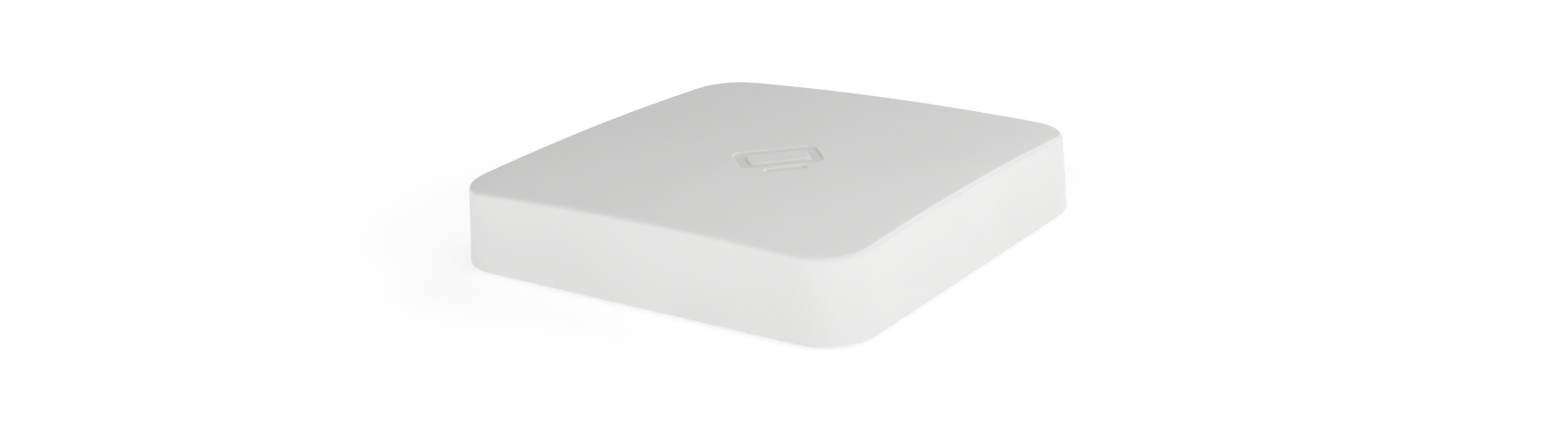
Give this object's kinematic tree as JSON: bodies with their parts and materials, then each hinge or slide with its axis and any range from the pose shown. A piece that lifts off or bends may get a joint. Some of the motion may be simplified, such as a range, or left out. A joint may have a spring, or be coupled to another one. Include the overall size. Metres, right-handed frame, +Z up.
{
  "type": "streaming media player",
  "caption": "Low square set-top box with a domed top, rounded corners, rear sockets, a pairing button and rubber feet.",
  "frame": {"origin": "middle of the case, in the plane of the surface that it stands on", "axes": "+Z up, -Y out of the front wall, +Y out of the wall with the sockets, +X to the right seen from the front"},
  "size_m": [0.1, 0.1, 0.0203],
  "materials": {
    "case_white": "satin, very fine texture",
    "base_grey": "matte, fine spark texture",
    "foot_rubber": "matte",
    "screw_steel": "turned and zinc plated",
    "label_film": "satin film",
    "solder_mask": "satin lacquer over copper",
    "chip_black": "matte moulded epoxy",
    "thermal_silicone": "matte",
    "heat_sink_aluminium": "extruded, fine grain along the fins",
    "nylon": "satin",
    "spring_steel": "bright drawn wire",
    "ferrite": "matte, sintered",
    "can_aluminium": "bright sleeve-less can",
    "ceramic": "matte fired ceramic",
    "module_blue": "satin lacquer",
    "tin_plate": "tin plated",
    "gold_plate": "gold plated",
    "cable_jacket": "satin jacket",
    "led_lens": "clear lens over white",
    "clear_acrylic": "polished",
    "socket_black": "satin moulded",
    "socket_white": "satin moulded",
    "antenna_board": "black lacquer with copper tracks"
  },
  "bodies": {
    "case": {"top_cover": "case_white", "bottom_cover": "base_grey", "rear_panel": "base_grey", "rubber_feet": "foot_rubber", "case_screws": "screw_steel", "rating_label": "label_film", "main_board": "solder_mask", "board_screws": "screw_steel", "processor": "chip_black", "thermal_pad": "thermal_silicone", "heat_sink": "heat_sink_aluminium", "heat_sink_pins": "nylon", "heat_sink_springs": "spring_steel", "memory_chips": "chip_black", "flash_chip": "chip_black", "power_chips": "chip_black", "power_inductors": "ferrite", "electrolytic_capacitors": "can_aluminium", "ceramic_passives": "ceramic", "clock_crystals": "tin_plate", "wifi_module": "module_blue", "shield_frame": "tin_plate", "shield_lid": "tin_plate", "antenna_plugs": "gold_plate", "antenna_left": "antenna_board", "antenna_right": "antenna_board", "antenna_cable_left": "cable_jacket", "antenna_cable_right": "cable_jacket", "status_led": "led_lens", "light_guide": "clear_acrylic", "hdmi_shell": "tin_plate", "hdmi_tongue": "socket_black", "ethernet_shell": "tin_plate", "ethernet_insert": "socket_black", "ethernet_contacts": "gold_plate", "ethernet_transformer": "chip_black", "usb_shell": "tin_plate", "usb_tongue": "socket_white", "av_jack": "socket_black", "power_jack": "socket_black", "power_jack_pin": "tin_plate", "switch_body": "socket_black"},
    "pair_button": {"pair_button": "base_grey", "switch_plunger": "socket_black"}
  },
  "joints": [
    {"name": "pair_button_press", "type": "slide", "parent": "case", "child": "pair_button", "axis": [0, -1, 0], "range_m": [0, 0.0004], "stiffness_N_per_m": 4000, "springref_m": -0.00005}
  ]
}
